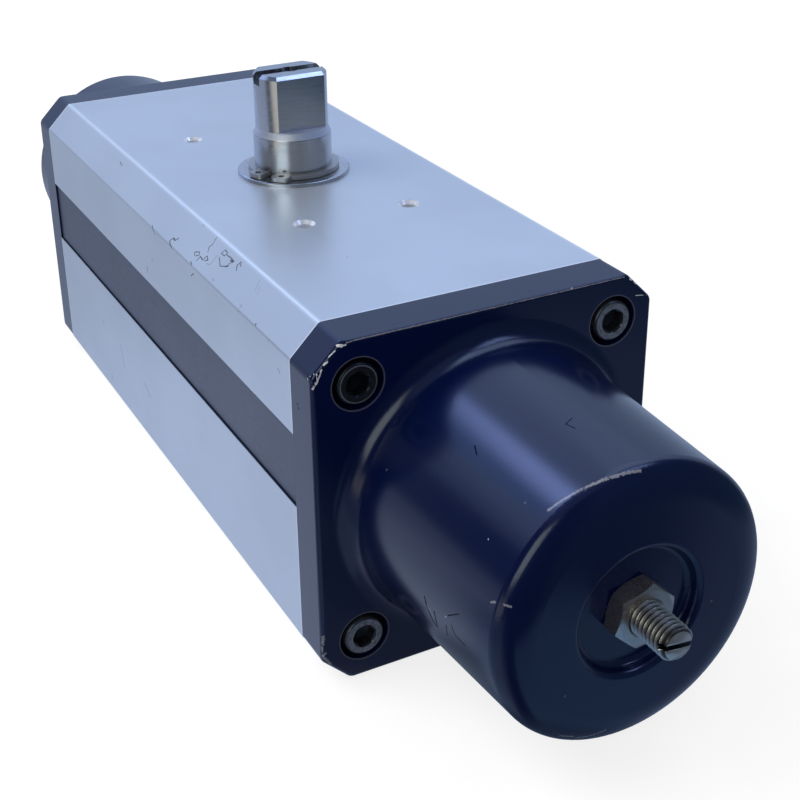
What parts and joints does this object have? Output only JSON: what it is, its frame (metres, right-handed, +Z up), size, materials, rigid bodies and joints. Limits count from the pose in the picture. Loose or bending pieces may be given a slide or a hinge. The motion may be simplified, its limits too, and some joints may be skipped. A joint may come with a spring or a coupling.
{
  "type": "pneumatic valve actuator",
  "caption": "Spring-return rack-and-pinion pneumatic actuator that turns a valve stem through a quarter turn; slotted indicator shaft on top, spring cups at the ends.",
  "frame": {"origin": "centre of the bottom mounting face, on the drive shaft's axis", "axes": "+Z up the drive shaft, +X along the body towards the end cap shown in the picture"},
  "size_m": [0.3554, 0.088, 0.1166],
  "materials": {
    "anodised_body": "satin clear anodised extrusion",
    "navy_paint": "glossy dark navy paint on cast aluminium",
    "strip_foil": "satin dark grey-blue strip",
    "stainless": "turned stainless steel",
    "dark_steel": "blackened spring steel",
    "cast_piston": "cast aluminium, machined",
    "slide_plastic": "natural acetal",
    "seal_rubber": "black nitrile rubber",
    "spring_coating": "blue coated spring steel"
  },
  "bodies": {
    "housing": {"body": "anodised_body", "side_strip": "strip_foil", "end_cap_right": "navy_paint", "end_cap_left": "navy_paint", "cap_screws": "stainless", "stop_screw_right": "stainless", "stop_screw_left": "stainless", "lock_nut_right": "stainless", "lock_nut_left": "stainless", "stop_seal_right": "seal_rubber", "stop_seal_left": "seal_rubber", "cap_seal_right": "seal_rubber", "cap_seal_left": "seal_rubber", "upper_bush": "slide_plastic", "lower_bush": "slide_plastic", "thrust_washer": "stainless", "spring_right": "spring_coating", "spring_left": "spring_coating"},
    "drive_shaft": {"pinion": "stainless", "circlip": "dark_steel", "upper_shaft_seal": "seal_rubber", "lower_shaft_seal": "seal_rubber"},
    "right_piston": {"piston_right": "cast_piston", "piston_seal_right": "seal_rubber", "guide_band_right": "slide_plastic", "rack_pad_right": "slide_plastic", "spring_seat_right": "dark_steel"},
    "left_piston": {"piston_left": "cast_piston", "piston_seal_left": "seal_rubber", "guide_band_left": "slide_plastic", "rack_pad_left": "slide_plastic", "spring_seat_left": "dark_steel"}
  },
  "joints": [
    {"name": "pinion_turn", "type": "hinge", "parent": "housing", "child": "drive_shaft", "pos_m": [0, 0, 0.044], "axis": [0, 0, 1], "range_deg": [0, 90], "stiffness_Nm_per_rad": 1, "springref_deg": -22.92},
    {"name": "right_piston_slide", "type": "slide", "parent": "housing", "child": "right_piston", "axis": [1, 0, 0], "range_m": [0, 0.02356], "deforming": ["spring_right"]},
    {"name": "left_piston_slide", "type": "slide", "parent": "housing", "child": "left_piston", "axis": [-1, 0, 0], "range_m": [0, 0.02356], "deforming": ["spring_left"]}
  ],
  "couplings": [
    {"joint": "pinion_turn", "follows": "right_piston_slide", "rad_per_m": 66.667},
    {"joint": "left_piston_slide", "follows": "right_piston_slide", "ratio": 1}
  ]
}
